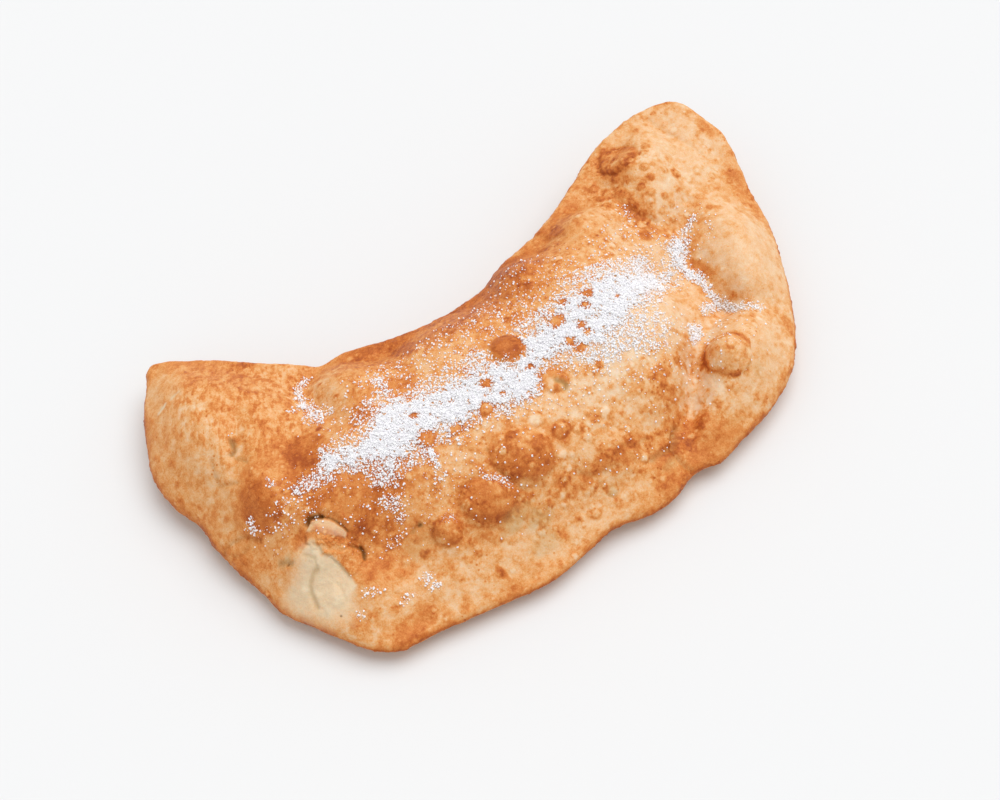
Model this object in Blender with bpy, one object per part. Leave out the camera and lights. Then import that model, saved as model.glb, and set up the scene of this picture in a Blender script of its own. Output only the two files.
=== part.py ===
"""A large fried empanada: a disc of wheat dough folded over its filling, sealed along the round edge and puffed up in hot oil.

The solid is one closed body. A rim line runs round it, at the height where the upper and the lower skin meet. Each skin is a
net of triangles that shares the rim line and is lifted or lowered by the functions below. Lengths are in metres, +Z is up,
and the empanada rests on a small flat spot at z = 0. The fold faces +Y and the sealed edge faces -Y.
"""

import math

import bmesh
import bpy
import numpy as np
from mathutils import Vector, geometry

MM = 0.001

# The rim line, as x, y and height in millimetres. The fold runs from the left horn to the right horn.
FOLD_RIM = (
    (-105, 75, 14), (-88, 64, 16), (-72, 50, 18), (-61, 42, 18), (-56, 37, 18), (-46, 37, 19),
    (-29, 32, 20), (-10, 30, 20), (9, 32, 20), (20, 37, 21), (34, 40, 22), (51, 47, 22),
    (65, 55, 22), (80, 63, 23), (96, 67, 24), (110, 67, 25), (119, 63, 25),
)
# The sealed edge runs on from the right horn, along the front, and back to the left horn.
SEAM_RIM = (
    (123, 54, 23), (126, 42, 21), (124, 30, 18), (121, 17, 14), (119, 3, 11), (113, -13, 9),
    (106, -27, 8), (97, -42, 8), (86, -54, 8), (71, -62, 7), (54, -67, 7), (42, -70, 6), (34, -68, 7),
    (20, -73, 6), (8, -73, 6), (-3, -71, 7), (-14, -73, 6), (-31, -76, 6), (-51, -74, 6), (-73, -71, 6),
    (-87, -70, 6),
    (-97, -63, 6), (-105, -50, 6), (-113, -37, 6), (-116, -23, 6), (-119, -12, 7), (-121, 0, 8),
    (-121, 9, 8), (-125, 19, 8), (-126, 33, 9), (-122, 46, 10), (-118, 56, 11), (-111, 67, 12),
)

# Puffed pillows of the upper skin: x, y, half length, half width, turn in degrees and height, in millimetres.
PILLOWS = (
    (-12, -17, 88, 48, 2, 40),  # the main chamber over the filling
    (-62, -11, 36, 34, 10, 36),  # its left lobe
    (30, -12, 41, 40, -8, 37),  # its right lobe, which ends in a blunt nose
    (38, 12, 40, 28, 22, 36),  # the back of the right lobe
    (-86, -22, 28, 22, 20, 32),  # the browned left end of the main chamber
    (-84, 6, 50, 60, 0, 28),  # the low floor under the left end
    (-100, 30, 34, 52, 16, 31),  # the left horn
    (-54, 15, 24, 24, 0, 33),
    (-14, 10, 50, 26, 0, 33),  # along the fold
    (20, 21, 24, 20, 20, 32),
    (54, 30, 26, 18, 25, 32),
    (88, 34, 50, 36, 28, 29),  # the low floor under the right horn
    (92, 46, 32, 15, 55, 31),  # the long swelling on the right horn
    (84, -6, 42, 62, -14, 22),  # the low floor under the right end
    (99, -8, 22, 38, -14, 28),  # the smooth pillow on the right
    (70, -44, 30, 22, 30, 27),
    (54, -58, 24, 13, 14, 19),
    (-100, -2, 24, 24, 0, 27),
    (-104, -24, 24, 32, -10, 20),
    (-92, -42, 28, 28, 35, 21),  # the front left corner
    (-40, -52, 60, 24, 0, 19),  # the border in front of the main chamber
    (10, -56, 50, 22, 2, 18),
)
PILLOW_BLEND = 5.0  # the power that joins the pillows: a higher one leaves sharper creases
PILLOW_SHOULDER = 0.6  # the power of a pillow's outline: 0.5 is an ellipse

# Creases between pillows: points of the line in millimetres, then depth and half width.
CREASES = (
    (((92, 21), (85, 14), (80, 6), (79, -4), (78, -14), (79, -22)), 4.0, 5.0),
    (((79, -22), (85, -27), (92, -30)), 3.0, 4.5),
    (((79, -22), (66, -28), (60, -32), (53, -39)), 3.0, 4.5),
    (((53, -39), (48, -44), (41, -51), (36, -58), (36, -67)), 3.0, 5.0),
    (((-57, 37), (-64, 31), (-67, 24), (-67, 14), (-66, 6)), 3.5, 5.0),
    (((54, 42), (65, 37), (69, 27), (76, 19), (86, 15)), 3.0, 5.0),
    (((106, 58), (98, 48), (98, 34), (100, 25)), 2.5, 6.5),
    (((-93, 27), (-97, 21), (-100, 14), (-102, 8)), 3.0, 3.5),
    (((-90, -36), (-95, -46), (-93, -58)), 2.0, 6.0),
    (((-112, -8), (-104, -20), (-98, -26)), 2.0, 5.0),
)

# Large blisters: x, y, half length, half width, turn in degrees and height, in millimetres.
BLISTERS = (
    (62, -43, 8.0, 7.5, -30, 4.5),
    (79, 45, 7.5, 7.0, 0, 3.5),
    (-21, -44, 11.5, 8.5, 10, 3.2),
    (-39, -50, 11.0, 6.5, 8, 3.0),
    (-55, -49, 5.0, 6.0, 10, 2.5),
    (-5, -8, 6.5, 6.0, 20, 2.5),
    (48, 34, 10.0, 8.0, 25, 2.0),
    (18, 25, 10.0, 9.0, 20, 2.5),
    (-99, -7, 9.5, 8.5, 0, 1.6),
    (37, -44, 14.0, 8.0, 15, 2.0),
    (8, -55, 12.0, 6.0, 8, 2.2),
)
BLISTER_EDGE = 0.8  # the power of a blister's outline

# The tear in the upper skin, where a blister has split: ends and middle of the arc, depth and half width.
TEAR_ARC = ((-97, -24), (-91, -23), (-86, -28), (-83, -38))
TEAR_DEPTH = 3.0
TEAR_HALF_WIDTH = 3.5

SEAM_NOSE = 2.8  # radius of the sealed edge's rounding
SEAM_SHOULDER = 24.0  # how far in from the sealed edge the upper skin reaches its full height
FOLD_SHOULDER = 25.0
SEAM_UNDERCUT = 20.0  # how far in from the sealed edge the lower skin comes down to the table
FOLD_UNDERCUT = 22.0

REST_CENTRE = (-8, -18)  # the flat spot that it rests on
REST_HALF = (62, 26)
HORN_LIFT = (((-108, 62), 52, 5.0), ((116, 50), 70, 12.0))  # centre, reach and lift of each horn
THINNEST = 4.5  # the least wall between the upper and the lower skin, away from the rim

RIM_STEP = 4.4  # spacing of the points along the rim line
NOSE_RINGS = (1.2, 3.2)  # how far in from the rim line the extra rings of points lie
UPPER_STEP = 3.25  # spacing of the upper skin's points
LOWER_STEP = 6.2
RIM_SPAN_POINTS = 8  # points that the rim curve gets in each span before it is spaced evenly

DOUGH_COLOUR = (0.72, 0.36, 0.12, 1.0)
DOUGH_ROUGHNESS = 0.5


def clear_scene():
    for item in list(bpy.data.objects):
        bpy.data.objects.remove(item)


def rim_curve():
    """The closed rim line as x, y, height and fold share, smoothed through its points and spaced evenly."""
    rows = [(*p, 1.0) for p in FOLD_RIM] + [(*p, 0.0) for p in SEAM_RIM]
    points = np.array(rows, float)
    count = len(points)
    curve = []
    for i in range(count):
        before, start, end, after = (points[(i + k) % count] for k in (-1, 0, 1, 2))
        for t in np.arange(RIM_SPAN_POINTS) / RIM_SPAN_POINTS:
            cubic = (
                start * 2
                + (end - before) * t
                + (before * 2 - start * 5 + end * 4 - after) * t**2
                + (start * 3 - before - end * 3 + after) * t**3
            )
            curve.append(cubic / 2)
    curve = np.array(curve + curve[:1])
    walked = np.concatenate([[0], np.cumsum(np.linalg.norm(np.diff(curve[:, :2], axis=0), axis=1))])
    steps = np.linspace(0, walked[-1], round(walked[-1] / RIM_STEP), endpoint=False)
    return np.stack([np.interp(steps, walked, curve[:, k]) for k in range(4)], axis=1)


def line_distance(points, line):
    """How far each point is from a run of straight pieces, in plan."""
    line = np.array(line, float)[:, :2]
    nearest = np.full(len(points), np.inf)
    for start, end in zip(line[:-1], line[1:]):
        along = end - start
        share = np.clip(((points - start) @ along) / (along @ along), 0, 1)
        gap = np.linalg.norm(points - start - share[:, None] * along, axis=1)
        nearest = np.minimum(nearest, gap)
    return nearest


def oval_radius(points, x, y, half_length, half_width, turn):
    """Distance from an oval's middle, where 1 is its outline."""
    angle = math.radians(turn)
    offset = points - np.array((x, y), float)
    along = offset @ np.array((math.cos(angle), math.sin(angle)))
    across = offset @ np.array((-math.sin(angle), math.cos(angle)))
    return np.hypot(along / half_length, across / half_width)


def dome(radius, power):
    return np.clip(1 - radius**2, 0, 1) ** power


class Plan:
    """What each point in plan knows of the rim: distance in from it, its height there and how much of it is fold."""

    def __init__(self, points, rim):
        self.points = points
        closed = np.vstack([rim, rim[:1]])
        self.inset = line_distance(points, closed)
        square = ((points[:, None, :] - rim[None, :, :2]) ** 2).sum(axis=2)
        weight = 1 / (square + 0.25) ** 2
        weight /= weight.sum(axis=1, keepdims=True)
        self.rim_height = weight @ rim[:, 2]
        self.fold = weight @ rim[:, 3]


def pillow_height(points):
    total = np.zeros(len(points))
    for x, y, half_length, half_width, turn, height in PILLOWS:
        radius = oval_radius(points, x, y, half_length, half_width, turn)
        total += (height * dome(radius, PILLOW_SHOULDER)) ** PILLOW_BLEND
    return total ** (1 / PILLOW_BLEND)


def shoulder(plan, seam_width, fold_width):
    """0 at the rim and 1 inside: a slow rise from the flat sealed edge, and a round one at the fold."""
    seam = np.clip(plan.inset / seam_width, 0, 1)
    fold = np.clip(plan.inset / fold_width, 0, 1)
    gentle = 1 - (1 - seam) ** 2.1
    round_fold = np.sqrt(1 - (1 - fold) ** 2)
    return gentle * (1 - plan.fold) + round_fold * plan.fold


def nose(plan):
    """Height of the rim's own rounding above the rim line."""
    share = np.clip(plan.inset / SEAM_NOSE, 0, 1)
    return SEAM_NOSE * np.sqrt(1 - (1 - share) ** 2)


def upper_height(plan):
    points = plan.points
    lip = plan.rim_height + nose(plan)
    puffed = np.maximum(pillow_height(points), lip)
    rise = shoulder(plan, SEAM_SHOULDER, FOLD_SHOULDER)
    height = lip * (1 - rise) + puffed * rise
    for line, depth, half_width in CREASES:
        gap = line_distance(points, line) / half_width
        height -= depth * np.exp(-(gap**1.5)) * rise
    for x, y, half_length, half_width, turn, raised in BLISTERS:
        height += raised * dome(oval_radius(points, x, y, half_length, half_width, turn), BLISTER_EDGE)
    gap = line_distance(points, TEAR_ARC) / TEAR_HALF_WIDTH
    return height - TEAR_DEPTH * np.exp(-(gap**2))


def lower_height(plan, upper):
    points = plan.points
    radius = oval_radius(points, *REST_CENTRE, *REST_HALF, 0)
    away = np.clip(radius - 1, 0, None)
    floor = 2.2 * (1 - np.exp(-away)) + 0.7 * np.sin(points[:, 0] / 11) * np.sin(points[:, 1] / 9) * np.clip(away, 0, 1)
    for centre, reach, lift in HORN_LIFT:
        near = np.clip(1 - np.linalg.norm(points - np.array(centre, float), axis=1) / reach, 0, 1)
        floor += lift * near**2 * (3 - 2 * near)
    floor = np.clip(floor, 0, None)
    lip = plan.rim_height - nose(plan)
    drop = shoulder(plan, SEAM_UNDERCUT, FOLD_UNDERCUT)
    height = lip * (1 - drop) + floor * drop
    inside = np.clip(plan.inset / (2 * THINNEST), 0, 1)
    return np.clip(np.minimum(height, upper - THINNEST * inside), 0, None)


def inset_ring(rim, distance):
    """The rim line's points moved inwards in plan."""
    tangent = np.roll(rim, -1, axis=0)[:, :2] - np.roll(rim, 1, axis=0)[:, :2]
    tangent /= np.linalg.norm(tangent, axis=1, keepdims=True)
    inwards = np.stack([tangent[:, 1], -tangent[:, 0]], axis=1)
    return rim[:, :2] + inwards * distance


def honeycomb(rim, step):
    """Points in a honeycomb that lie well inside the rim."""
    low, high = rim[:, :2].min(axis=0), rim[:, :2].max(axis=0)
    row_gap = step * math.sqrt(3) / 2
    rows = np.arange(low[1], high[1], row_gap)
    grid = [(x + step / 2 * (k % 2), y) for k, y in enumerate(rows) for x in np.arange(low[0], high[0], step)]
    grid = np.array(grid)
    closed = np.vstack([rim, rim[:1]])
    far_enough = line_distance(grid, closed) > NOSE_RINGS[-1] + step * 0.6
    start, end = closed[:-1, :2], closed[1:, :2]
    spans = (start[:, 1] > grid[:, 1, None]) != (end[:, 1] > grid[:, 1, None])
    slope = (end[:, 0] - start[:, 0]) / np.where(end[:, 1] == start[:, 1], 1, end[:, 1] - start[:, 1])
    crossing = start[:, 0] + (grid[:, 1, None] - start[:, 1]) * slope
    inside = (spans & (grid[:, 0, None] < crossing)).sum(axis=1) % 2 == 1
    return grid[far_enough & inside]


def skin_net(rim, step):
    """Plan points and triangles of one skin. The first points are the rim's own."""
    rings = [inset_ring(rim, distance) for distance in NOSE_RINGS]
    points = np.vstack([rim[:, :2], *rings, honeycomb(rim, step)])
    outline = list(range(len(rim)))
    filled = geometry.delaunay_2d_cdt([Vector(p) for p in points], [], [outline], 1, 1e-4)
    return np.array([tuple(p) for p in filled[0]]), [tuple(face) for face in filled[2]]


def add_skin(mesh, rim, step, upper):
    points, triangles = skin_net(rim, step)
    plan = Plan(points, rim)
    height = upper_height(plan)
    if not upper:
        height = lower_height(plan, height)
    at_rim = plan.inset < 1e-3
    height[at_rim] = plan.rim_height[at_rim]
    corners = [mesh.verts.new((x * MM, y * MM, z * MM)) for (x, y), z in zip(points, height)]
    for triangle in triangles:
        ring = [corners[i] for i in triangle]
        mesh.faces.new(ring if upper else ring[::-1])


def centre_on_origin(mesh):
    """Move the mesh so that the middle of its box lies over the origin and its lowest point is at z = 0."""
    places = np.array([corner.co for corner in mesh.verts])
    low, high = places.min(axis=0), places.max(axis=0)
    middle = Vector((*(low + high)[:2] / 2, low[2]))
    bmesh.ops.translate(mesh, verts=mesh.verts, vec=-middle)


def make_empanada():
    rim = rim_curve()
    mesh = bmesh.new()
    add_skin(mesh, rim, UPPER_STEP, upper=True)
    add_skin(mesh, rim, LOWER_STEP, upper=False)
    bmesh.ops.remove_doubles(mesh, verts=mesh.verts, dist=0.00002)
    bmesh.ops.recalc_face_normals(mesh, faces=mesh.faces)
    centre_on_origin(mesh)
    data = bpy.data.meshes.new("empanada")
    mesh.to_mesh(data)
    mesh.free()
    data.shade_smooth()
    empanada = bpy.data.objects.new("empanada", data)
    bpy.context.scene.collection.objects.link(empanada)
    return empanada


def fried_dough():
    material = bpy.data.materials.new("fried_dough")
    material.use_nodes = True
    shader = material.node_tree.nodes["Principled BSDF"]
    shader.inputs["Base Color"].default_value = DOUGH_COLOUR
    shader.inputs["Roughness"].default_value = DOUGH_ROUGHNESS
    return material


clear_scene()
make_empanada().data.materials.append(fried_dough())
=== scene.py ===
"""Looks of a large fried empanada: its blistered crust, the sugar sprinkled on it, and its table and light.

The crust is drawn over the CAD solid's own surface. Places on it are x and y in millimetres, seen from above.
"""

import math

import bmesh
import bpy
import numpy as np
from mathutils import Matrix, Vector, kdtree, noise
from mathutils.bvhtree import BVHTree


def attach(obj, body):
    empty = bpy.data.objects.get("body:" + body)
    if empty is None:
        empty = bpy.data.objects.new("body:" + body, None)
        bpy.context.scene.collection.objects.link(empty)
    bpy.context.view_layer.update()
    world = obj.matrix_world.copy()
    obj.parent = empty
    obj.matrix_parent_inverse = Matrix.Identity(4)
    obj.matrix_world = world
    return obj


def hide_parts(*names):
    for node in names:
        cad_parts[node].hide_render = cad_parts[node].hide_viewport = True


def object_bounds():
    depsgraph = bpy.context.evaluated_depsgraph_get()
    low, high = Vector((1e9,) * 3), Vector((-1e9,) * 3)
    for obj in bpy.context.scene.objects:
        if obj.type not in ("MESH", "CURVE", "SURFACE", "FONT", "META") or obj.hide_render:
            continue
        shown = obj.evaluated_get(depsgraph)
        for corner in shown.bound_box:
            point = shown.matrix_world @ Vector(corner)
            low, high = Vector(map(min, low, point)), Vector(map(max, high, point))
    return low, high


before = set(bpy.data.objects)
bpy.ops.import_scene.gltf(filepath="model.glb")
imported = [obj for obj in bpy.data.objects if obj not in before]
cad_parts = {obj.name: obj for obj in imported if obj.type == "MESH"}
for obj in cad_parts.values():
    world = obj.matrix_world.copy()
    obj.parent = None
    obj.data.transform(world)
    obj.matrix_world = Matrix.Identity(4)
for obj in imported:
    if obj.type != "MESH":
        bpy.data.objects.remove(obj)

cad_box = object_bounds()

# --- The crust -----------------------------------------------------------------------------------------
# One skin of wheat dough, puffed and browned in hot oil. It is the CAD solid's surface cut finer and
# relaxed until its facets are gone, then raised into blisters and bubbles, creased, and torn at the front
# left, where raw-looking dough shows under the skin.

MM = 0.001
SKIN_CUTS = 4  # cuts across each facet of the solid
SOLE_CUTS = 1  # the same underneath, where it is plain
SOLE_FACING = -0.35  # upward part of a facet's normal below which it counts as underneath
RELAX_ROUNDS = 12
RELAX_SHARE = 0.5  # how far a point moves towards its neighbours in each round
MERGE = 0.001 * MM
FINER = ((-94, -36, 15), (-91, -34, 8.5), (62, -40.6, 10), (81.8, 51, 9))  # places cut finer: x, y, radius
FLAT_SPOT = 0.02  # height under which the skin rests flat on the table, in millimetres

crust_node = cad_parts["empanada"]
skin = bmesh.new()
skin.from_mesh(crust_node.data)
bmesh.ops.remove_doubles(skin, verts=skin.verts, dist=MERGE)
skin.normal_update()
upper = [any(f.normal.z > SOLE_FACING for f in e.link_faces) for e in skin.edges]
upper_edges = [e for e, is_upper in zip(skin.edges, upper) if is_upper]
sole_edges = [e for e, is_upper in zip(skin.edges, upper) if not is_upper]
bmesh.ops.subdivide_edges(skin, edges=sole_edges, cuts=SOLE_CUTS, use_grid_fill=True)
bmesh.ops.subdivide_edges(skin, edges=upper_edges, cuts=SKIN_CUTS, use_grid_fill=True)
bmesh.ops.triangulate(skin, faces=skin.faces)
on_the_table = [v for v in skin.verts if v.co.z < FLAT_SPOT * MM]
for _ in range(RELAX_ROUNDS):
    bmesh.ops.smooth_vert(
        skin, verts=skin.verts, factor=RELAX_SHARE, use_axis_x=True, use_axis_y=True, use_axis_z=True
    )
for v in on_the_table:
    v.co.z = 0
for fx, fy, radius in FINER:
    skin.normal_update()
    spot = Vector((fx, fy))
    close_by = [
        e for e in skin.edges
        if all((v.co.xy / MM - spot).length < radius and v.normal.z > 0 for v in e.verts)
    ]
    bmesh.ops.subdivide_edges(skin, edges=close_by, cuts=1, use_grid_fill=True)
    bmesh.ops.triangulate(skin, faces=skin.faces)
skin.normal_update()

place = np.array([v.co for v in skin.verts]) / MM
facing = np.array([v.normal for v in skin.verts])
x, y = place[:, 0], place[:, 1]


def ease(start, end, value):
    """0 at start and 1 at end, with a soft curve between them. End may be below start."""
    t = np.clip((value - start) / (end - start), 0, 1)
    return t * t * (3 - 2 * t)


def mottle(size, seed, octaves=3):
    """Smooth noise over the skin, about -1 to 1, with spots of that size in millimetres."""
    shift = Vector((seed * 17.3, seed * -9.1, seed * 5.7))
    values = [noise.fractal(Vector(p) / size + shift, 0.8, 2.0, octaves) for p in place]
    return np.clip(np.array(values), -1, 1)


def oval(row):
    """Distance from the middle of an oval on the skin as seen from above, in half widths."""
    across, up, half_length, half_width, turn = row[:5]
    c, s = math.cos(math.radians(turn)), math.sin(math.radians(turn))
    along = ((x - across) * c + (y - up) * s) / half_length
    aside = ((y - up) * c - (x - across) * s) / half_width
    return np.hypot(along, aside)


def line_gap(points):
    """Distance from a line of points as seen from above, in millimetres."""
    gap = np.full(len(x), np.inf)
    for (ax, ay), (bx, by) in zip(points, points[1:]):
        length = (bx - ax) ** 2 + (by - ay) ** 2
        t = np.clip(((x - ax) * (bx - ax) + (y - ay) * (by - ay)) / length, 0, 1)
        gap = np.minimum(gap, np.hypot(x - ax - t * (bx - ax), y - ay - t * (by - ay)))
    return gap


def inside(points):
    """True inside a closed outline as seen from above."""
    result = np.zeros(len(x), bool)
    for (ax, ay), (bx, by) in zip(points, points[1:] + points[:1]):
        crosses = (ay > y) != (by > y)
        result ^= crosses & (x < ax + (y - ay) / (by - ay + 1e-9) * (bx - ax))
    return result


TOP_FACING = (-0.1, 0.35)  # upward part of the normal where the upper skin starts and where it is full
PATCH_GRAIN = 4.0  # size of the noise that makes the edge of a patch ragged, in millimetres
top = ease(*TOP_FACING, facing[:, 2])  # 1 on the upper skin and 0 underneath
level = np.abs(facing[:, 2])  # 1 where the skin lies level and 0 where it stands upright
broad = mottle(34, 1)
wide = mottle(12, 9)
middling = mottle(PATCH_GRAIN, 2)
close = mottle(2.2, 3, 2)
finest = mottle(0.9, 11, 2)

# The skin's own unevenness. Lift is how far it is raised, in millimetres. Browning goes from 0 for raw dough
# to 1 for dark brown. The sealed rim is more crumbly than the rest, and browner where the skin stands steep:
# partly fried colour, partly painted shade.
DIMPLES = (0.26, 0.1)  # height of its broad and of its small dimples
RIM_CRUMBLE = (0.26, 0.22)  # height of its close and of its finest grain
RIM_CRUMBLE_FACING = (0.75, 0.2)  # how level the skin is where the crumble starts and where it is full
PLAIN_BROWNING = 0.47
UNEVEN_BROWNING = (0.05, 0.05, 0.09, 0.03)  # from broad, wide, middling and close noise
# Round the rim the skin is browner where it stands steep: partly fried colour, partly painted shade.
RIM_BROWNING_AND_SHADE = 0.44
RIM_UNEVEN = 0.25  # share of the rim's browning that comes and goes
RIM_FACING = (0.74, 0.06)  # how level the skin is where the rim's browning starts and where it is full

crumble = RIM_CRUMBLE[0] * close + RIM_CRUMBLE[1] * finest
lift = DIMPLES[0] * mottle(7, 4) + DIMPLES[1] * middling + crumble * ease(*RIM_CRUMBLE_FACING, level)
browning = np.full(len(x), PLAIN_BROWNING)
for amount, layer in zip(UNEVEN_BROWNING, (broad, wide, middling, close)):
    browning += amount * layer
# Browning of the rim where the skin stands steep: partly fried colour, partly painted shade.
browning += RIM_BROWNING_AND_SHADE * ease(*RIM_FACING, level) * (1 - RIM_UNEVEN + RIM_UNEVEN * middling)

# Browned and pale places: x, y, half length, half width, turn in degrees and browning, which is below zero
# where it is pale.
PATCHES = (
    # left horn
    (-81, 1, 8, 8, 0, 0.24), (-87, 3, 2, 6, 20, 0.08), (-77, 52, 3.2, 2.4, 30, 0.2),
    (-114, 17, 1.8, 1.6, 0, 0.16), (-72, 6, 1.2, 1.1, 0, 0.35), (-95, 70, 24, 6, -8, 0.12),
    (-119, 58, 4, 13, 0, 0.1), (-98, 30, 24, 30, 0, 0.05), (-85, 55, 16, 12, -40, 0.08),
    (-109, 55, 9, 16, 0, -0.03), (-108, 22, 9, 14, 0, -0.06), (-108, 12, 8, 12, 0, -0.06),
    # left end, round the tear
    (-80, -26, 21, 12, -28, 0.13), (-85, -19, 8, 3.4, 10, 0.1), (-74, -34, 8, 5, -20, 0.08),
    (-66, -24, 9, 8, 0, 0.08), (-103, -6, 6.5, 10, 0, 0.19), (-79, -65, 9, 3.8, 12, 0.2),
    (-72, -50, 3.5, 3, 0, 0.08), (-64, -50, 3, 3, 0, 0.08), (-58, -1, 6, 5, 0, 0.2),
    (-55, -28, 9, 5, 0, 0.1), (-54, 8, 6, 5, 30, 0.1), (-80, -72, 13, 4, 0, 0.2),
    (-112, -14, 6, 8, 0, 0.1), (-98, -25, 3, 3, 0, 0.14), (-68, -42, 8, 5, 0, 0.04),
    (-80, -46, 8, 6, 0, 0.11), (-85, -8, 9, 7, 0, 0.16), (-96, -2, 14, 12, 0, 0.06),
    (-61, 26, 6.5, 9.5, 0, -0.04), (-75, -54, 20, 8, 0, -0.07), (-68, -36, 10, 4, 0, -0.06),
    # front
    (-45.5, -66, 1.2, 3, 20, 0.3), (-46, -72, 6, 2, 0, 0.14), (-27.5, -46, 4.5, 3, -38, 0.1),
    (-41, -52.5, 7, 2.2, -14, 0.12), (-5, -41, 4.8, 4, 0, 0.09), (3, -54.5, 11, 1.9, 4, 0.15),
    (14, -52.5, 7, 1.4, 12, 0.14), (-13.5, -53.5, 3.4, 1.2, 0, 0.18), (36, -41, 9, 4, 0, 0.06),
    (55.4, -41.5, 2.4, 6.0, 0, 0.1), (49, -45, 10, 8, 0, -0.2), (14, -40, 14, 5, 0, -0.08),
    (28, -68, 16, 4, 12, 0.12), (6, -44, 8, 3.5, 0, 0.07), (24, -60, 7, 3, 10, 0.14),
    # The last two patches on the next line are painted shade on the lower right lobe, where it faces away
    # from the light.
    (20, -66, 4.5, 3, 0, 0.12), (35, -60, 5, 9, -10, 0.06), (46, -62, 15, 6, -22, 0.1),
    (20, -46, 16, 6, 0, -0.1), (24, -60, 14, 3, 10, 0.06), (0, -46, 14, 4, 4, -0.06),
    (-22, -64, 40, 8, 2, -0.07), (14, -62, 12, 4, 0, -0.05),
    # middle
    (-42, 4, 8, 7, 0, 0.12), (53, -26.4, 3, 1, -25, 0.2), (-6, 4, 4, 3, 0, 0.1), (6, 3, 4, 4, 0, 0.14),
    (42, -24, 26, 12, 10, -0.14), (20, -28, 20, 6, 0, -0.08), (2, -35, 20, 8, 4, -0.14),
    (-36, -32, 20, 5, 0, -0.08), (58, -16, 18, 11, 10, -0.08),
    # fold and the slope behind it
    (17, 11, 7, 5, 10, 0.08), (-30, 22, 5, 6, 10, 0.1), (-8, 25, 42, 13, 0, 0.16),
    (-12, 34, 52, 7, 0, 0.15), (42, 37, 2.6, 6, 15, 0.14), (52, 40, 8, 6, 20, 0.12),
    (-6, 16, 22, 11, 0, 0.08), (30, 30, 20, 9, 20, 0.06),
    # right end
    (81.5, -5, 1.8, 9, 8, 0.16), (84, 6, 5, 4, 0, 0.1), (92, 11, 1.8, 2.4, 0, 0.16),
    (98, -10, 16, 24, -14, -0.14), (97, -30, 8, 10, 0, 0.07), (70, -44, 22, 16, 20, -0.1),
    (60, 4, 18, 12, 0, -0.12),
    # right horn
    (73, 31, 3, 9, 0, 0.18), (71, 17, 3, 2.6, 0, 0.2), (118, 22, 3.5, 8, 10, 0.1),
    (120, 47, 2.4, 5, 0, 0.22), (106, 46, 16, 20, 0, -0.12), (88, 32, 12, 12, 20, -0.08),
    (88, 22, 10, 7, 20, -0.08), (118, 42, 2.6, 5, 0, -0.1), (62, 28, 8, 9, 0, -0.06),
)
PATCH_STRENGTH = 1.1
PATCH_EDGE = (1.25, 0.7)  # where a patch starts and where it is full, in half widths
PATCH_RAGGED = (0.385, 0.275)  # how far middling and close noise push its edge, in half widths

ragged_edge = PATCH_RAGGED[0] * middling + PATCH_RAGGED[1] * close
for row in PATCHES:
    browning += PATCH_STRENGTH * row[5] * ease(*PATCH_EDGE, oval(row) + ragged_edge) * top

# Orange flecks, long and narrow, lie slantwise on the left horn and on the slope of the fold: x, y,
# half length, half width and turn of the place, then the slant of its flecks and their strength.
FLECK_ZONES = ((-86, 33, 26, 30, 30, 60, 0.2), (-12, 22, 46, 14, 0, 66, 0.16), (70, 35, 12, 16, 20, 70, 0.12))
FLECK_SIZE = (3.6, 1.6)  # length and width of a fleck, in millimetres
FLECK_HEIGHT = 0.18  # millimetres
FLECK_BROWNING = 0.4
FLECK_LIMITS = (-0.7, 0.8)  # of the noise that browns them

flecked = np.zeros(len(x))
for row in FLECK_ZONES:
    slant, strength = row[5:]
    along = Matrix.Rotation(math.radians(-slant), 3, "Z")
    turned = (along @ Vector(p) for p in place)
    squeezed = (Vector((q.x / FLECK_SIZE[0], q.y / FLECK_SIZE[1], q.z / FLECK_SIZE[0])) for q in turned)
    flecks = np.array([noise.fractal(q, 0.9, 2.0, 2) for q in squeezed])
    there = ease(*PATCH_EDGE, oval(row)) * top
    lift += FLECK_HEIGHT * flecks * there
    browning += FLECK_BROWNING * strength * np.clip(flecks, *FLECK_LIMITS) * there
    flecked = np.maximum(flecked, there * (strength / FLECK_ZONES[0][6]))

# Grey-green, underdone places: x, y, half length, half width, turn in degrees, strength.
UNDERDONE = (
    (-33, -56, 7, 3, 10, 0.5), (-26, -58, 6, 3, 0, 0.5), (-28, -65, 7, 3.5, 5, 0.35),
    (71, -51, 3, 2, 30, 0.25), (26, -62, 4, 2, 10, 0.4), (2, -61.5, 2, 1.6, 0, 0.5),
    (-105, -26, 2, 1.6, 0, 0.5), (-99.4, 18.4, 1.2, 2.6, 0, 0.7), (-64, -46, 8, 4, 0, 0.2),
)
UNDERDONE_EDGE = (1.3, 0.4)  # where such a place starts and where it is full, in half widths
UNDERDONE_RAGGED = 0.3  # how far noise pushes its edge, in half widths
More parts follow.
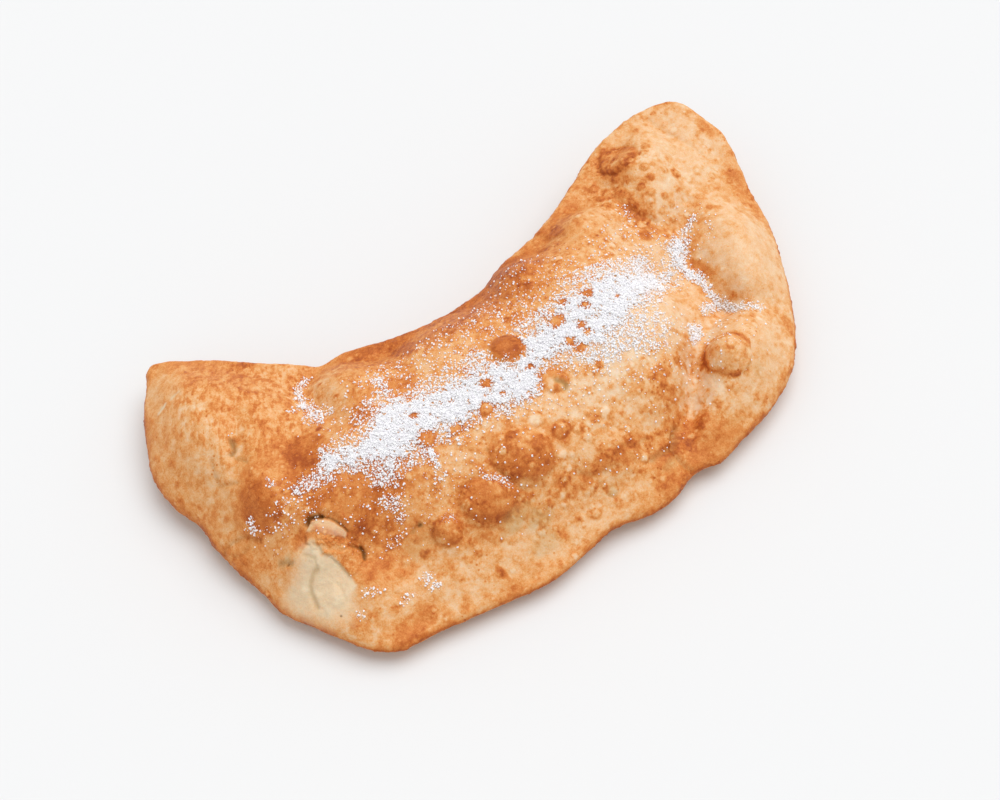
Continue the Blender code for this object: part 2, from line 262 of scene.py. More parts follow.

# Creases, slits and wrinkles: half width, depth, darkness, greyness, then their points. The darkness is
# painted shade down in the creases, gaps and pits, and the dark specks' own colour. A depth below zero
# is a raised lip.
CREASES = (
    # the gap of the tear
    (0.75, 1.5, 0.9, 0.0, ((-93.8, -22.8), (-92.4, -21.9), (-90.4, -22.6), (-88.6, -24.0))),
    (0.35, 0.7, 0.5, 0.0, ((-88.6, -24.0), (-86.2, -26.4), (-84.2, -29.4), (-83.4, -31.6))),
    # its lower gap
    (0.7, 1.3, 0.85, 0.0, ((-82.0, -37.0), (-81.9, -38.4), (-82.7, -40.0))),
    (0.45, 0.5, 0.4, 0.0, ((-84.8, -35.0), (-83.4, -35.8), (-82.2, -37.0))),
    # the raised lip round it
    (1.0, -0.6, 0.0, 0.0, (
        (-95.4, -21.8), (-91.6, -19.9), (-87.2, -22.0), (-83.4, -26.2), (-81.8, -31), (-81, -35),
    )),
    # cracks that run on from it
    (0.45, 0.5, 0.3, 0.0, ((-96.2, -25.6), (-97.4, -27.0), (-96.6, -28.6))),
    (0.5, 0.3, 0.12, 0.3, (
        (-95.4, -29.4), (-94.2, -31.2), (-94.4, -33.2), (-92.4, -35.2), (-91, -38), (-90, -42),
    )),
    # grooves in the bare dough
    (0.85, 0.7, 0.04, 0.5, (
        (-98.1, -35.4), (-99.6, -35.6), (-101, -36.2), (-102.2, -37.2), (-103, -38.8), (-103.5, -43),
    )),
    (0.6, 0.16, 0.0, 0.14, ((-95.4, -39.6), (-94.0, -43), (-94.4, -46.6))),
    (0.5, 0.2, 0.0, 0.35, ((-99.4, -29.6), (-97.2, -32.6), (-97.6, -34.6))),
    # dark specks
    (0.4, 0.6, 0.8, 0.0, ((-105.2, -27.0), (-105.0, -27.3))),
    (0.3, 0.3, 0.9, 0.0, ((-98.6, -50.0), (-98.4, -50.2))),
    # the pit on the left horn, and the wrinkles by it
    (0.9, 0.9, 0.45, 0.5, ((-98.6, 19.8), (-99.2, 17.6), (-100, 15.8), (-101.4, 15))),
    (0.7, 0.4, 0.1, 0.4, ((-101, 13), (-99.6, 11), (-99, 9))),
    (0.8, 0.5, 0.16, 0.0, ((-108, 18), (-109.6, 14), (-110, 10), (-108, 8), (-105, 5))),
    # a leaf of dough at the left edge
    (0.8, 0.5, 0.2, 0.0, ((-119, -6), (-115, -6.6), (-111, -9), (-108, -14))),
    (0.7, 0.4, 0.12, 0.0, ((-117, -10), (-114.5, -12), (-112, -12))),
    # a dent left of the tear
    (0.9, 0.6, 0.3, 0.4, ((-106.6, -24.6), (-105, -26.4), (-103.8, -28))),
    # a pinhole, and the wrinkle by it
    (0.7, 0.8, 0.95, 0.2, ((-62.1, -41.6), (-61.6, -41.8))),
    (0.8, 0.5, 0.25, 0.0, ((-65, -42), (-63.4, -41.4))),
    # the open pit of a burst blister
    (0.9, 1.1, 0.15, 0.9, ((2.6, -26.8), (4.0, -28.0), (4.8, -29.6), (3.8, -30.4))),
    # a dimple behind the fold
    (0.6, 0.35, 0.5, 0.2, ((-22.5, 18.2), (-22.2, 17.8))),
    # wrinkles along the front
    (1.2, 0.9, 0.22, 0.2, ((20, -59.4), (24, -58.6), (28, -58.4), (31, -57.6), (33.4, -55))),
    (0.9, 0.5, 0.12, 0.0, ((-48, -49.6), (-46, -52.4), (-41, -55), (-35, -55))),
    (0.9, 0.5, 0.12, 0.0, ((-31, -42), (-30, -46), (-26.5, -50.5), (-20, -52))),
    (0.8, 0.5, 0.12, 0.0, ((-7, -53), (-3, -55.4), (1, -56.6), (7, -57))),
    (0.7, 0.4, 0.12, 0.0, ((8, -54.6), (12, -53.2), (17, -54), (22, -53))),
    # long folds on the right horn
    (1.1, 0.6, 0.08, 0.0, ((71, 38), (72, 31), (74, 26), (78, 20))),
    (0.9, 0.4, 0.06, 0.0, ((104, 62), (106, 54), (110, 46), (112, 38))),
    # short ones over the large blister and at the end of the fold
    (0.8, 0.4, 0.12, 0.0, ((50, -25), (52, -26.6), (54, -27.2))),
    (1.0, 0.5, 0.08, 0.0, ((36, 42), (39, 38), (40, 33), (43, 29))),
    # beside the lobe, with painted shade along its step
    (1.1, 1.2, 0.26, 0.0, ((34.9, -52.6), (31.6, -55.4), (29.2, -59.4), (29.6, -63.4), (30.9, -66.8))),
)
CREASE_WANDER = 0.25  # how far noise pushes a crease aside, in millimetres
# The line of painted shade along a crease is this wide, as a share of the crease's own width.
CREASE_SHADOW = 0.85  # width of its dark line, as a share of its own

pale = np.zeros(len(x))
underdone = np.zeros(len(x))
crease_shade_and_specks = np.zeros(len(x))
for row in UNDERDONE:
    grey = row[5] * ease(*UNDERDONE_EDGE, oval(row) + UNDERDONE_RAGGED * middling)
    underdone = np.maximum(underdone, grey * top)
for half_width, depth, darkness, greyness, points in CREASES:
    gap = (line_gap(points) + CREASE_WANDER * close) / half_width
    lift -= depth * np.exp(-(gap**2)) * top
    # Painted shade along the crease, and the dark specks' own colour.
    crease_shade_and_specks = np.maximum(crease_shade_and_specks, darkness * np.exp(-((gap / CREASE_SHADOW) ** 2)) * top)
    underdone = np.maximum(underdone, greyness * np.exp(-(gap**2)) * top)

# The tear. Dough that the oil never browned lies bare, a thin skin spans the gap over it, a torn tongue of
# skin hangs down beside it, and its edge lies in crumbs. Two pale scars are on the tip of the left horn.
BARE_DOUGH = (
    (-95.7, -28.7), (-98.6, -28), (-101.8, -30.8), (-106.8, -32.8), (-109.6, -34.2), (-109.6, -38.2),
    (-106.6, -43.6), (-102.5, -48.7), (-97.5, -51.5), (-94.3, -50.3), (-92, -47.3), (-89.4, -46),
    (-89.7, -42.4), (-90.8, -38.1), (-91.8, -35.4), (-94.5, -33.7), (-93.7, -31.9),
)
MEMBRANE = (
    (-95, -24.4), (-92.6, -23), (-90.2, -23.8), (-87.4, -26.2), (-85, -29), (-83.8, -31.6),
    (-85.2, -32.4), (-87.5, -31.4), (-89.5, -30.2), (-92, -27.4),
)
TONGUE = (
    (-93.4, -33.4), (-90.6, -34.2), (-88.2, -36), (-85.4, -35.7), (-82.2, -37.6), (-83.2, -40),
    (-86.7, -42.5), (-89.3, -42.8), (-90.6, -38), (-91.6, -35.6),
)
CRUMBLE = ((-93, -30), (-90, -31.6), (-87, -33.4), (-84.6, -35), (-83, -36.4))
SCARS = (  # half width, paleness, then their points
    (0.6, 1.0, ((-112.6, 50.4), (-109.6, 50.7))),
    (0.45, 0.6, ((-107.4, 50.2), (-103.6, 50.3))),
)
OUTLINE_RAGGED = 0.3  # how far noise pushes an outline, in millimetres
BARE_DOUGH_FADE = (0.6, 4.4)  # softness of its edge, along the torn skin and at its far side
FADE_OVER = (2.5, 9)  # distance from the torn skin over which that changes
BARE_DOUGH_DEPTH = 0.15
BARE_DOUGH_BROWNING = -0.2
BARE_DOUGH_PALENESS = (0.76, 0.3, -0.16)  # plain, and from middling and finest noise
MEMBRANE_FADE = 0.4
MEMBRANE_LIFT = 0.35
MEMBRANE_BROWNING = (0.12, -0.25)  # plain, and along its upper edge
MEMBRANE_PALENESS = (0.22, 0.26, 0.2)  # plain, along its upper edge, and from middling noise
MEMBRANE_RIM = (3.2, 0.8, 0.6)  # where that edge starts, and where its browning and its paleness are full
TONGUE_FADE = 0.45
TONGUE_RAGGED = 0.5
TONGUE_LIFT = 0.55
CRUMBLE_EDGE = (2.0, 0.7)  # distance from that line where the crumbs start and where they are thickest
CRUMBLE_RAGGED = 0.4
CRUMB_LIFT = (0.25, 0.5)  # plain, and from finest noise
TORN_BROWNING = (0.6, 0.18)  # of tongue and crumbs: plain, and from finest noise
TORN_SHARE = 0.8  # how far that takes over from the skin's own browning
SCAR_EDGE = (1.6, 0.4)  # where a scar starts and where it is full, in half widths
SCAR_RAGGED = 0.3


def within(points, fade, ragged_by=OUTLINE_RAGGED):
    """1 inside an outline and 0 outside, over that softness in millimetres."""
    gap = line_gap(points + points[:1])
    depth_inside = np.where(inside(points), gap, -gap)
    return ease(-fade, fade, depth_inside + ragged_by * close + OUTLINE_RAGGED * fade * middling) * top


sharp, soft = BARE_DOUGH_FADE
torn_edge = TONGUE[:3] + TONGUE[6:]
bare = within(BARE_DOUGH, sharp + (soft - sharp) * ease(*FADE_OVER, line_gap(torn_edge)))
membrane = within(MEMBRANE, MEMBRANE_FADE)
tongue = within(TONGUE, TONGUE_FADE, TONGUE_RAGGED)
crumbs = ease(*CRUMBLE_EDGE, line_gap(CRUMBLE) + CRUMBLE_RAGGED * close) * top
lift += MEMBRANE_LIFT * membrane + TONGUE_LIFT * tongue
lift += crumbs * (CRUMB_LIFT[0] + CRUMB_LIFT[1] * finest) - BARE_DOUGH_DEPTH * bare
torn = TORN_SHARE * np.maximum(tongue, crumbs)
browning = browning * (1 - torn) + torn * (TORN_BROWNING[0] + TORN_BROWNING[1] * finest)
from_rim = line_gap(MEMBRANE[:6])  # from its upper edge
rim_browning = MEMBRANE_BROWNING[1] * ease(MEMBRANE_RIM[0], MEMBRANE_RIM[1], from_rim)
browning += membrane * (MEMBRANE_BROWNING[0] + rim_browning) + BARE_DOUGH_BROWNING * bare
plain, by_middling, by_finest = BARE_DOUGH_PALENESS
pale = np.clip(bare * (plain + by_middling * middling + by_finest * finest), 0, 1)
plain, by_rim, by_middling = MEMBRANE_PALENESS
rim_paleness = by_rim * ease(MEMBRANE_RIM[0], MEMBRANE_RIM[2], from_rim)
pale = np.maximum(pale, membrane * (plain + rim_paleness + by_middling * middling))
for half_width, strength, points in SCARS:
    gap = (line_gap(points) + SCAR_RAGGED * close) / half_width
    pale = np.maximum(pale, strength * ease(*SCAR_EDGE, gap) * top)

# Blisters one by one: x, y, half length, half width, turn in degrees, height, browning of the ring,
# browning of the middle.
BLISTERS = (
    (61.4, -39.6, 8.2, 7.8, -50, 0.90, 0.44, 0.06),  # the large one over the right front
    (81.6, 50.0, 7.4, 7.2, -60, 1.40, 0.34, 0.12),  # on the right horn
    (-3.8, -6.6, 6.6, 6.2, -35, 0.80, 0.08, 0.34),  # bare in the middle of the sugar
    (-21.2, -43.0, 11.8, 8.6, -40, 1.50, 0.12, 0.24),  # the broad brown one in front
    (-38.6, -48.6, 9.6, 6.7, -30, 1.40, 0.17, 0.17),  # the reddish one beside it
    (17.0, 20.5, 9.6, 8.6, 20, 0.80, 0.04, 0.03),  # at the top of the fold
    (2.0, -26.2, 5.0, 4.4, -30, 0.90, 0.20, 0.10),
    (-55.6, -48.8, 5.0, 4.8, 0, 1.00, 0.22, 0.05),
    # small ones on the left of the front
    (-46.0, -45.5, 2.6, 1.9, 10, 0.35, 0.12, -0.18),
    # at the front edge of the sugar
    (-46.0, -21.5, 3.5, 3.2, 0, 0.80, 0.24, 0.14),
    (-36.0, -23.5, 2.6, 2.3, 0, 0.60, 0.20, 0.10),
    (-23.5, -23.5, 2.9, 2.3, 15, 0.70, 0.26, 0.08),
    (-32.0, -24.5, 1.3, 1.2, 0, 0.40, 0.20, 0.10),
    # pale ones on the broad brown blister and round it
    (-26.5, -39.0, 1.6, 1.4, 0, 0.42, 0.10, -0.21),
    (-28.0, -37.0, 1.2, 1.0, 0, 0.28, 0.10, -0.18),
    (-20.0, -34.5, 1.4, 1.2, 0, 0.35, 0.10, -0.18),
    (-17.5, -40.0, 1.3, 1.3, 0, 0.28, 0.10, -0.15),
    (-21.0, -46.5, 1.5, 1.2, 0, 0.35, 0.10, -0.18),
    (-25.0, -47.5, 1.2, 1.0, 0, 0.28, 0.10, -0.12),
    (-11.0, -35.0, 2.8, 2.4, -20, 0.49, 0.12, -0.19),
    (-9.0, -47.5, 2.2, 1.7, 10, 0.49, 0.10, -0.20),
    (-6.0, -48.5, 1.5, 1.3, 0, 0.35, 0.10, -0.18),
    (2.0, -46.0, 2.0, 1.8, 0, 0.42, 0.12, -0.18),
    (0.0, -43.0, 1.6, 1.5, 0, 0.35, 0.16, -0.12),
    (12.0, -42.0, 2.4, 2.0, 0, 0.42, 0.12, -0.17),
    (17.0, -49.0, 1.2, 1.2, 0, 0.35, 0.12, -0.18),
    # down the front
    (-5.0, -58.0, 3.4, 1.8, 15, 0.42, 0.10, -0.12),
    (-5.0, -41.0, 3.4, 3.0, 0, 0.70, 0.32, 0.20),
    (-4.2, -40.4, 1.1, 1.0, 0, 0.35, 0.00, -0.27),
    (-7.0, -64.5, 1.9, 1.7, 0, 0.50, 0.28, -0.05),
    (2.0, -61.5, 2.0, 1.7, 0, 0.50, 0.22, -0.10),
    (18.0, -57.5, 2.0, 1.8, 0, 0.50, 0.24, -0.10),
    # on the back of the fold and the foot of the right horn
    (33.0, 18.5, 2.4, 2.0, 0, 0.35, 0.14, -0.15),
    (73.0, 22.0, 2.2, 2.0, 0, 0.35, 0.26, -0.12),
    (68.0, 46.0, 1.8, 1.6, 0, 0.50, 0.26, 0.14),
    (67.0, 40.0, 1.7, 1.6, 0, 0.50, 0.26, 0.16),
    (66.0, 35.0, 1.9, 1.6, 0, 0.50, 0.26, 0.14),
    # on the right horn
    (92.0, 47.0, 1.7, 1.5, 0, 0.50, 0.24, 0.14),
    (89.0, 44.5, 1.4, 1.3, 0, 0.40, 0.24, 0.12),
    (85.5, 38.5, 1.7, 1.5, 0, 0.50, 0.26, 0.14),
    (92.0, 35.0, 1.5, 1.4, 0, 0.40, 0.22, 0.12),
    (96.0, 33.0, 2.1, 1.9, 0, 0.50, 0.26, 0.12),
    (82.0, 29.0, 1.5, 1.3, 0, 0.40, 0.24, 0.12),
    (86.0, 26.0, 1.4, 1.2, 0, 0.40, 0.24, 0.12),
    (87.0, 23.0, 1.3, 1.2, 0, 0.40, 0.24, 0.12),
    (82.0, 22.0, 1.2, 1.1, 0, 0.40, 0.24, 0.12),
    (85.0, 34.0, 1.4, 1.3, 0, 0.40, 0.24, 0.14),
    (80.0, 33.0, 1.5, 1.3, 0, 0.40, 0.24, 0.14),
    # bare ones in the sugar
    (-45.0, -12.0, 1.3, 1.1, 0, 0.30, 0.30, 0.30),
    (-18.0, -15.0, 2.1, 1.8, 0, 0.40, 0.30, 0.25),
    (-15.5, -21.5, 1.2, 1.0, 0, 0.30, 0.30, 0.30),
    (-2.0, -18.0, 1.6, 1.4, 0, 0.40, 0.30, 0.25),
    (14.5, -17.0, 2.2, 1.8, 0, 0.50, 0.28, 0.20),
    (21.5, -14.0, 1.8, 1.6, 0, 0.40, 0.28, 0.20),
    (22.0, -17.5, 1.5, 1.3, 0, 0.30, 0.26, 0.20),
    (16.5, -21.0, 2.0, 1.7, 0, 0.40, 0.26, 0.20),
    (16.0, -7.5, 3.5, 2.7, 20, 0.60, 0.30, 0.18),
    (27.5, -7.5, 2.1, 1.7, 0, 0.40, 0.28, 0.20),
    (31.0, -3.5, 2.5, 2.0, 10, 0.50, 0.30, 0.20),
    (22.0, -1.5, 1.5, 1.3, 0, 0.40, 0.26, 0.20),
    (40.0, -9.0, 1.2, 1.0, 0, 0.30, 0.28, 0.20),
    (19.0, -29.0, 1.6, 1.4, 0, 0.40, 0.26, 0.15),
)
RING_WIDTH = (0.18, 0.4, 1.25)  # of a blister's half width, and its least and most in millimetres
RING_AT = 0.97  # in half widths
MIDDLE_EDGE = (1.02, 1.6)  # where the middle's colour starts, and how many ring widths it takes to be full
BLISTER_REACH = 1.5  # how far from its middle the skin is moved, in half lengths
BLISTER_WOBBLE = 0.09  # how far noise pushes its outline, in half widths
BLISTER_ROUNDNESS = 0.36  # a smaller number makes it flatter on top and steeper at the edge
GROOVE_SHARE = 0.16  # depth of the groove round a blister, as a share of its height
GROOVE_OUT = 0.3  # how far outside the blister's edge it runs, in ring widths

# The bubbles are pressed out of the skin one by one, the larger listed ones first and the small ones at
# random.
tree = kdtree.KDTree(len(place))
for i, p in enumerate(place):
    tree.insert(p, i)
tree.balance()
surface = BVHTree.FromBMesh(skin)
ABOVE = Vector((0, 0, 1))


def raise_blister(spot, normal, half_length, half_width, turn, height, ring, middle):
    """One blister: a dome in a shallow groove, with a browned ring and its own colour in the middle."""
    reach = BLISTER_REACH * max(half_length, half_width)
    near = np.array([i for _, i, _ in tree.find_range(spot, reach)])
    if len(near) == 0:
        return
    east = Vector((math.cos(math.radians(turn)), math.sin(math.radians(turn)), 0))
    along = (east - normal * east.dot(normal)).normalized()
    aside = normal.cross(along)
    offset = place[near] - np.array(spot)
    far = np.hypot(offset @ np.array(along) / half_length, offset @ np.array(aside) / half_width)
    far += BLISTER_WOBBLE * middling[near]
    width = min(max(RING_WIDTH[0] * half_width, RING_WIDTH[1]), RING_WIDTH[2]) / half_width
    dome = np.clip(1 - far**2, 0, 1) ** BLISTER_ROUNDNESS
    groove = np.exp(-(((far - 1 - GROOVE_OUT * width) / width) ** 2))
    lift[near] += height * (dome - GROOVE_SHARE * groove)
    browning[near] += ring * np.exp(-(((far - RING_AT) / width) ** 2))
    browning[near] += middle * ease(MIDDLE_EDGE[0], MIDDLE_EDGE[0] - MIDDLE_EDGE[1] * width, far)


for bx, by, half_length, half_width, turn, height, ring, middle in BLISTERS:
    spot, normal, _, _ = surface.ray_cast(Vector((bx * MM, by * MM, 1)), -ABOVE)
    raise_blister(spot / MM, normal, half_length, half_width, turn, height, ring, middle)

# Where the skin is richest in small bubbles: x, y, half length, half width, turn in degrees, richness above
# the usual.
BUBBLE_ZONES = (
    (0, -45, 62, 20, 0, 1.3), (78, 34, 16, 24, 20, 0.8), (-80, -20, 22, 26, 0, 0.25),
    (20, 20, 40, 22, 10, 0.3), (-21, -43, 12, 9, -40, -0.9), (101, -8, 15, 24, -14, -0.4),
    (-105, 45, 20, 34, 0, -0.3), (-99, -40, 13, 14, 20, -0.6),
)
BUBBLE_ZONE_EDGE = (1.3, 0.7)  # where a zone starts and where it is full, in half widths
USUAL_RICHNESS = 0.4
LEAST_RICHNESS = 0.04
BUBBLES = 5500
BUBBLE_SIZES = (0.75, 0.42)  # median half width in millimetres, and its spread
BUBBLE_LIMITS = (0.5, 1.7)
BUBBLE_WIDTH = (0.7, 0.3)  # least share of its length, and how much more at random
BUBBLE_STEEPNESS = (0.07, 0.18)  # height over half width
BUBBLE_RING = (0.05, 0.1)  # least browning of the ring, and how much more at random
BROWN_BUBBLES = 0.4  # share of them that are browned in the middle
BROWN_MIDDLE = 0.08  # at most
PALE_MIDDLE = -0.03  # of all the others
PALER = 0.1  # how much paler still the others are at most
PALER_ON_BROWN = 0.2  # the same where the skin is brown
BROWN_SKIN = 0.6  # browning above which the skin counts as brown

chance = np.random.default_rng(41)
faces = np.array([[v.index for v in f.verts] for f in skin.faces])
areas = np.array([f.calc_area() for f in skin.faces])
middles = place[faces].mean(axis=1)
richness = np.full(len(x), USUAL_RICHNESS)
for row in BUBBLE_ZONES:
    richness += row[5] * ease(*BUBBLE_ZONE_EDGE, oval(row)) * top
richness = np.clip(richness, LEAST_RICHNESS, None)
weight = areas * richness[faces[:, 0]]
picked = chance.choice(len(faces), BUBBLES, p=weight / weight.sum())
sizes = np.clip(BUBBLE_SIZES[0] * np.exp(BUBBLE_SIZES[1] * chance.standard_normal(BUBBLES)), *BUBBLE_LIMITS)
flattest, steepest = BUBBLE_STEEPNESS
for size, face in zip(sizes, picked):
    corner = faces[face, 0]
    kind, roundness, turn, steep, ring, middle = chance.random(6)
    width = size * (BUBBLE_WIDTH[0] + BUBBLE_WIDTH[1] * roundness)
    height = size * (flattest + (steepest - flattest) * steep)
    if kind < BROWN_BUBBLES:
        inner = BROWN_MIDDLE * middle
    else:
        inner = PALE_MIDDLE - (PALER_ON_BROWN if browning[corner] > BROWN_SKIN else PALER) * middle
    ring_browning = BUBBLE_RING[0] + BUBBLE_RING[1] * ring
    normal = Vector(facing[corner])
    raise_blister(Vector(middles[face]), normal, size, width, 180 * turn, height, ring_browning, inner)

LOW_SKIN = (0.35, 3)  # share of the lift kept at the table, and height where all of it is, in millimetres
lift[place[:, 2] < FLAT_SPOT] = 0
lift *= LOW_SKIN[0] + (1 - LOW_SKIN[0]) * ease(0, LOW_SKIN[1], place[:, 2])
shaped = place + facing * lift[:, None]
shaped[:, 2] = np.maximum(shaped[:, 2], 0)
low, high = (np.array(c) / MM for c in cad_box)
shaped = np.clip(shaped, low, high)
for v, p in zip(skin.verts, shaped):
    v.co = Vector(p) * MM
bmesh.ops.recalc_face_normals(skin, faces=skin.faces)
crust_mesh = bpy.data.meshes.new("crust")
skin.to_mesh(crust_mesh)
skin.free()
crust_mesh.shade_smooth()
masks = {"browning": browning, "pale": pale, "underdone": underdone, "crease_shade_and_specks": crease_shade_and_specks, "flecked": flecked}
for mask, values in masks.items():
    layer = crust_mesh.attributes.new(mask, "FLOAT", "POINT")
    layer.data.foreach_set("value", np.clip(values, 0, 1).astype(np.float32))
crust = bpy.data.objects.new("crust", crust_mesh)
bpy.context.scene.collection.objects.link(crust)

# How deep the dough fried, from raw to dark brown.
BROWNING_COLOURS = (
    (0.0, (241, 215, 185)), (0.16, (238, 205, 168)), (0.3, (235, 192, 148)), (0.4, (233, 181, 129)),
    (0.47, (230, 169, 109)), (0.54, (225, 155, 89)), (0.64, (216, 135, 68)), (0.78, (199, 111, 47)),
    (1.0, (166, 80, 31)),
)
BARE_DOUGH_COLOUR = (240, 220, 186)
BARE_DOUGH_SHADE = (221, 196, 160)
UNDERDONE_COLOUR = (186, 152, 98)
UNDERDONE_STRENGTH = 0.75
# Colour of the painted shade in creases, gaps and pits, and of the dark specks.
CREASE_SHADE_AND_SPECK_COLOUR = (104, 64, 20)
FLECK_SLANT = 62.0  # degrees, seen from above

# How each pattern moves the browning: from the first two of its own values to the last two.
BUBBLE_TINT = (0.1, 0.75, -0.03, 0.03)
BLOTCH_TINT = (0.38, 0.62, -0.075, 0.075)
SPECK_TINT = (0.3, 0.7, -0.085, 0.085)
FLECK_TINT = (0.46, 0.58, -0.03, 0.13)
FRECKLE_TINT = (0.09, 0.2, 0.26, 0.0)
FRECKLE_CLOUDS = (0.45, 0.62, 0.0, 1.0)
BARE_DOUGH_BLOTCHES = (0.36, 0.64, 0.0, 1.0)
OILY_SHEEN = (0.2, 0.9, 0.62, 0.42)  # browner skin is the smoother
BUBBLE_BUMP = (0.0, 0.8, 0.08, 0.0)  # heights in millimetres
SPECK_BUMP = (0.2, 0.8, 0.0, 0.13)
BLOTCH_BUMP = (0.3, 0.7, 0.0, 0.16)


def shade(*screen_colour):
    """A colour given as 0 to 255 on a screen, as the shader's own numbers."""
    shares = (value / 255 for value in screen_colour)
    return (*(c / 12.92 if c <= 0.04045 else ((c + 0.055) / 1.055) ** 2.4 for c in shares), 1)


def new_material(name):
    """A material with no nodes yet, and its nodes and links, which the helpers below add to."""
    material = bpy.data.materials.new(name)
    material.use_nodes = True
    material.node_tree.nodes.clear()
    return material, material.node_tree.nodes, material.node_tree.links


def add(kind, **settings):
    """A node of that kind with its properties set."""
    node = nodes.new(kind)
    for setting, value in settings.items():
        setattr(node, setting, value)
    return node


def feed(socket, value):
    """Gives a socket a number or colour of its own, or joins it to another node's output."""
    if isinstance(value, (int, float, tuple)):
        socket.default_value = value
    else:
        links.new(value, socket)


def noise_at(size, detail=3.0, roughness=0.55):
    """Noise with spots of that size in millimetres, 0 to 1."""
    node = add("ShaderNodeTexNoise")
    node.inputs["Scale"].default_value = 1 / (size * MM)
    node.inputs["Detail"].default_value = detail
    node.inputs["Roughness"].default_value = roughness
    links.new(where.outputs["Object"], node.inputs["Vector"])
    return node.outputs["Fac"]


def cells_at(size):
    """Distance from the middles of round cells of that size in millimetres."""
    node = add("ShaderNodeTexVoronoi", feature="F1")
    node.inputs["Scale"].default_value = 1 / (size * MM)
    links.new(where.outputs["Object"], node.inputs["Vector"])
    return node.outputs["Distance"]


def maths(operation, first, second):
    """The sum, product or other result of two values."""
    node = add("ShaderNodeMath", operation=operation)
    feed(node.inputs[0], first)
    feed(node.inputs[1], second)
    return node.outputs[0]


def mask_of(name):
    """One of the crust's own attributes."""
    return add("ShaderNodeAttribute", attribute_name=name).outputs["Fac"]


def blend_colour(share, first, second):
    """The first colour where the share is 0, and the second where it is 1."""
    node = add("ShaderNodeMix", data_type="RGBA", blend_type="MIX")
    for socket, value in ((node.inputs[0], share), (node.inputs[6], first), (node.inputs[7], second)):
        feed(socket, value)
    return node.outputs[2]


def range_of(value, low_in, high_in, low_out, high_out):
    """The value moved from one range to another, and held at its ends."""
    node = add("ShaderNodeMapRange")
    for socket, number in zip(node.inputs[1:5], (low_in, high_in, low_out, high_out)):
        socket.default_value = number
    links.new(value, node.inputs[0])
    return node.outputs[0]


def new_shader():
    """The material's shader, joined to its output."""
    shader = add("ShaderNodeBsdfPrincipled")
    output = add("ShaderNodeOutputMaterial")
    links.new(shader.outputs["BSDF"], output.inputs["Surface"])
    return shader


fried, nodes, links = new_material("fried_crust")
where = add("ShaderNodeTexCoord")
slanted = add("ShaderNodeMapping", vector_type="TEXTURE")
slanted.inputs["Rotation"].default_value = (0, 0, math.radians(FLECK_SLANT))
slanted.inputs["Scale"].default_value = (FLECK_SIZE[0] * MM, FLECK_SIZE[1] * MM, FLECK_SIZE[0] * MM)
links.new(where.outputs["Object"], slanted.inputs["Vector"])
flecks = add("ShaderNodeTexNoise")
flecks.inputs["Scale"].default_value = 1.0
flecks.inputs["Detail"].default_value = 2.5
flecks.inputs["Roughness"].default_value = 0.6
links.new(slanted.outputs["Vector"], flecks.inputs["Vector"])
tiny_bubbles = cells_at(1.5)
freckles = cells_at(2.6)
specks = noise_at(0.5, 2.0)
blotches = noise_at(3.6, 5.0, 0.68)
clouds = noise_at(11.0, 3.0, 0.5)

fleck_tone = maths("MULTIPLY", range_of(flecks.outputs["Fac"], *FLECK_TINT), mask_of("flecked"))
freckle_tone = maths("MULTIPLY", range_of(freckles, *FRECKLE_TINT), range_of(clouds, *FRECKLE_CLOUDS))
tone = maths("ADD", mask_of("browning"), range_of(tiny_bubbles, *BUBBLE_TINT))
tone = maths("ADD", tone, range_of(blotches, *BLOTCH_TINT))
tone = maths("ADD", tone, range_of(specks, *SPECK_TINT))
tone = maths("ADD", tone, fleck_tone)
tone = maths("ADD", tone, freckle_tone)
ramp = add("ShaderNodeValToRGB")
while len(ramp.color_ramp.elements) < len(BROWNING_COLOURS):
    ramp.color_ramp.elements.new(0.5)
for element, (position, _) in zip(ramp.color_ramp.elements, BROWNING_COLOURS):
    element.position = position
for element, (_, colour) in zip(ramp.color_ramp.elements, BROWNING_COLOURS):
    element.color = shade(*colour)
links.new(tone, ramp.inputs["Fac"])
dough_blotches = range_of(blotches, *BARE_DOUGH_BLOTCHES)
bare_dough = blend_colour(dough_blotches, shade(*BARE_DOUGH_SHADE), shade(*BARE_DOUGH_COLOUR))
greyness = maths("MULTIPLY", mask_of("underdone"), UNDERDONE_STRENGTH)
colour = blend_colour(mask_of("pale"), ramp.outputs["Color"], bare_dough)
colour = blend_colour(greyness, colour, shade(*UNDERDONE_COLOUR))
# Painted shade in the creases, gaps and pits, and the dark specks, laid over the crust's colour.
colour = blend_colour(mask_of("crease_shade_and_specks"), colour, shade(*CREASE_SHADE_AND_SPECK_COLOUR))
relief = maths("ADD", range_of(tiny_bubbles, *BUBBLE_BUMP), range_of(specks, *SPECK_BUMP))
relief = maths("ADD", relief, range_of(blotches, *BLOTCH_BUMP))
bump = add("ShaderNodeBump")
bump.inputs["Strength"].default_value = 0.8
bump.inputs["Distance"].default_value = 1.0 * MM
links.new(relief, bump.inputs["Height"])
crust_shader = new_shader()
links.new(colour, crust_shader.inputs["Base Color"])
links.new(range_of(tone, *OILY_SHEEN), crust_shader.inputs["Roughness"])
links.new(bump.outputs["Normal"], crust_shader.inputs["Normal"])
crust_shader.inputs["Specular IOR Level"].default_value = 0.16
crust_shader.inputs["Subsurface Weight"].default_value = 0.12
crust_shader.inputs["Subsurface Radius"].default_value = (1.0, 0.5, 0.25)
crust_shader.inputs["Subsurface Scale"].default_value = 2.0 * MM
crust_mesh.materials.append(fried)

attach(crust, "root")
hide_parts("empanada")

# --- The sugar -----------------------------------------------------------------------------------------
# White table sugar shaken over the empanada after frying: a thin drift along the top, with loose crystals
# round it. Nothing holds it but the oil on the crust.

